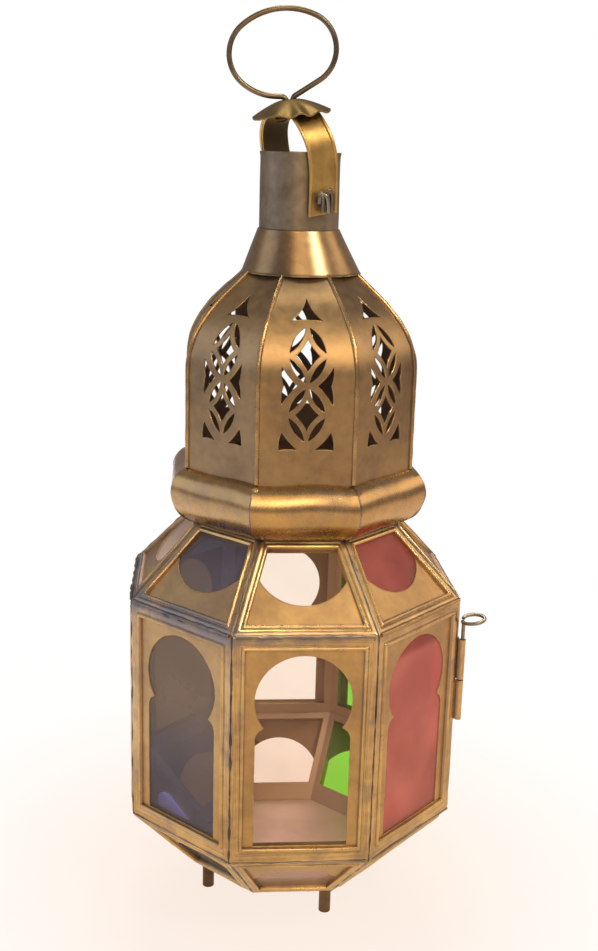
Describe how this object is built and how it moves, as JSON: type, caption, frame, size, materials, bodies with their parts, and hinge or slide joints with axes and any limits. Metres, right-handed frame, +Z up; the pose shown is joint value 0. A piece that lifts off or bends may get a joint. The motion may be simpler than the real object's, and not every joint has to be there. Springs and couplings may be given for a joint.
{
  "type": "fanous lantern",
  "caption": "Eight-sided brass fanous lantern with horseshoe-arch glass windows, pierced dome, chimney neck, folding strap bail, swivelling wire ring and a door on a draw-out pin.",
  "frame": {"origin": "on the plane of the feet, under the lantern's axis", "axes": "+Z up, -Y out of the front window, +X out of the door"},
  "size_m": [0.1339, 0.1252, 0.339],
  "materials": {
    "brass_frame": "aged brass channel with grey solder in its corners",
    "brass_sheet": "aged, brushed brass sheet",
    "dark_wire": "darkened steel wire",
    "glass_clear": "clear sheet glass",
    "glass_blue": "blue sheet glass",
    "glass_red": "red sheet glass",
    "glass_green": "green sheet glass",
    "glass_amber": "amber sheet glass"
  },
  "bodies": {
    "lantern": {"bail_ties": "dark_wire", "base_frames": "brass_frame", "base_glass_amber": "glass_amber", "base_glass_blue": "glass_blue", "base_glass_clear": "glass_clear", "base_glass_green": "glass_green", "base_glass_red": "glass_red", "base_plates": "brass_sheet", "collar_cone": "brass_sheet", "dome_gore_back": "brass_sheet", "dome_gore_back_left": "brass_sheet", "dome_gore_back_right": "brass_sheet", "dome_gore_front": "brass_sheet", "dome_gore_front_left": "brass_sheet", "dome_gore_front_right": "brass_sheet", "dome_gore_left": "brass_sheet", "dome_gore_right": "brass_sheet", "dome_seams": "brass_frame", "feet": "brass_frame", "floor_plate": "brass_sheet", "hinge_tube_fixed": "brass_frame", "moulding_segments": "brass_sheet", "neck_tube": "brass_sheet", "roof_frames": "brass_frame", "roof_glass_amber": "glass_amber", "roof_glass_blue": "glass_blue", "roof_glass_clear": "glass_clear", "roof_glass_green": "glass_green", "roof_glass_red": "glass_red", "roof_plates": "brass_sheet", "window_frame_back": "brass_frame", "window_frame_back_left": "brass_frame", "window_frame_back_right": "brass_frame", "window_frame_front": "brass_frame", "window_frame_front_left": "brass_frame", "window_frame_front_right": "brass_frame", "window_frame_left": "brass_frame", "window_glass_back": "glass_clear", "window_glass_back_left": "glass_amber", "window_glass_back_right": "glass_green", "window_glass_front": "glass_clear", "window_glass_front_left": "glass_blue", "window_glass_front_right": "glass_red", "window_glass_left": "glass_clear", "window_plate_back": "brass_sheet", "window_plate_back_left": "brass_sheet", "window_plate_back_right": "brass_sheet", "window_plate_front": "brass_sheet", "window_plate_front_left": "brass_sheet", "window_plate_front_right": "brass_sheet", "window_plate_left": "brass_sheet"},
    "door": {"door_frame": "brass_frame", "door_plate": "brass_sheet", "door_glass": "glass_clear", "hinge_tube_door": "brass_frame", "door_catch": "brass_frame"},
    "hinge_pin": {"hinge_pin": "dark_wire"},
    "bail": {"bail_strap": "brass_sheet", "cap_rosette": "brass_sheet"},
    "ring": {"hanging_ring": "dark_wire"}
  },
  "joints": [
    {"name": "door_swing", "type": "hinge", "parent": "lantern", "child": "door", "pos_m": [0.0635, -0.0263, 0.0955], "axis": [0, 0, -1], "range_deg": [0, 110]},
    {"name": "pin_draw", "type": "slide", "parent": "lantern", "child": "hinge_pin", "axis": [0, 0, 1], "range_m": [0, 0.03]},
    {"name": "bail_swing", "type": "hinge", "parent": "lantern", "child": "bail", "pos_m": [-0.0012, 0, 0.27385], "axis": [0.454, -0.891, 0], "range_deg": [-98.5, 81.5]},
    {"name": "ring_swivel", "type": "hinge", "parent": "bail", "child": "ring", "pos_m": [-0.00515, -0.00201, 0.30352], "axis": [-0.1317, -0.0671, 0.989], "continuous": true}
  ]
}
